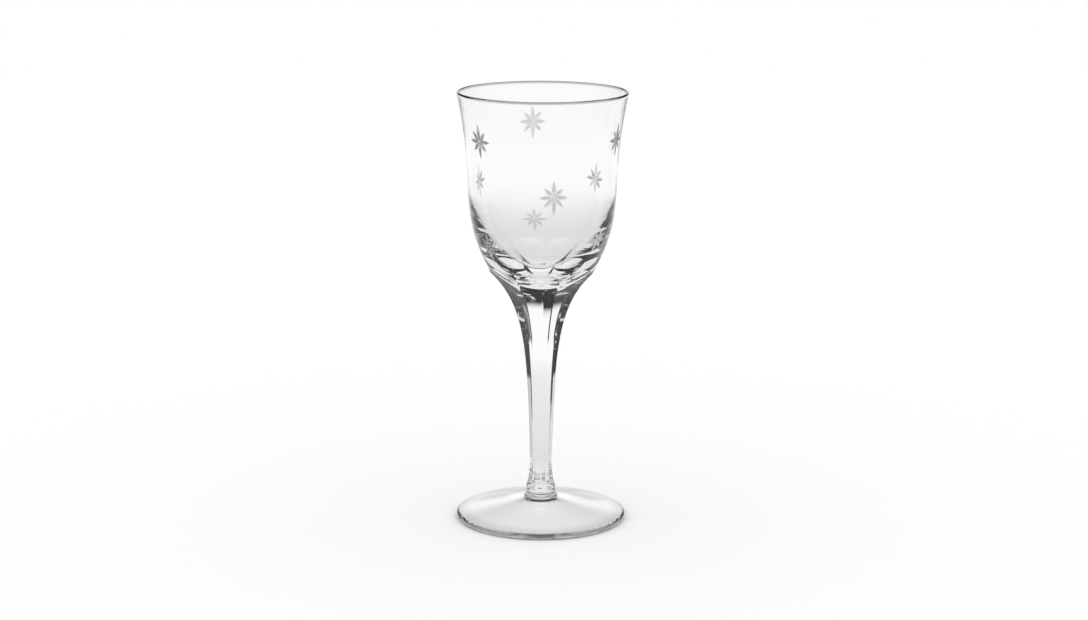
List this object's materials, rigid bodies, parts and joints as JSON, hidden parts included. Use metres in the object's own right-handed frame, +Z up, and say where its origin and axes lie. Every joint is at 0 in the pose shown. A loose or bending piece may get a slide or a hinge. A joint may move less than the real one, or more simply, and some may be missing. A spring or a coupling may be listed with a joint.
{
  "type": "white wine glass",
  "caption": "Stemmed white wine glass in clear cut crystal: a tall flared bowl with a thick base, a facet-cut stem with a trumpet top, and a shallow conical foot to stand on.",
  "frame": {"origin": "middle of the ring that the foot stands on, at table height", "axes": "+Z up along the stem, -Y towards the viewer of the picture, +X to the viewer's right"},
  "size_m": [0.075, 0.075, 0.19],
  "materials": {
    "clear_crystal": "fire-polished and wheel-cut clear crystal"
  },
  "bodies": {
    "root": {"bowl": "clear_crystal", "stem": "clear_crystal", "foot": "clear_crystal"}
  },
  "joints": []
}
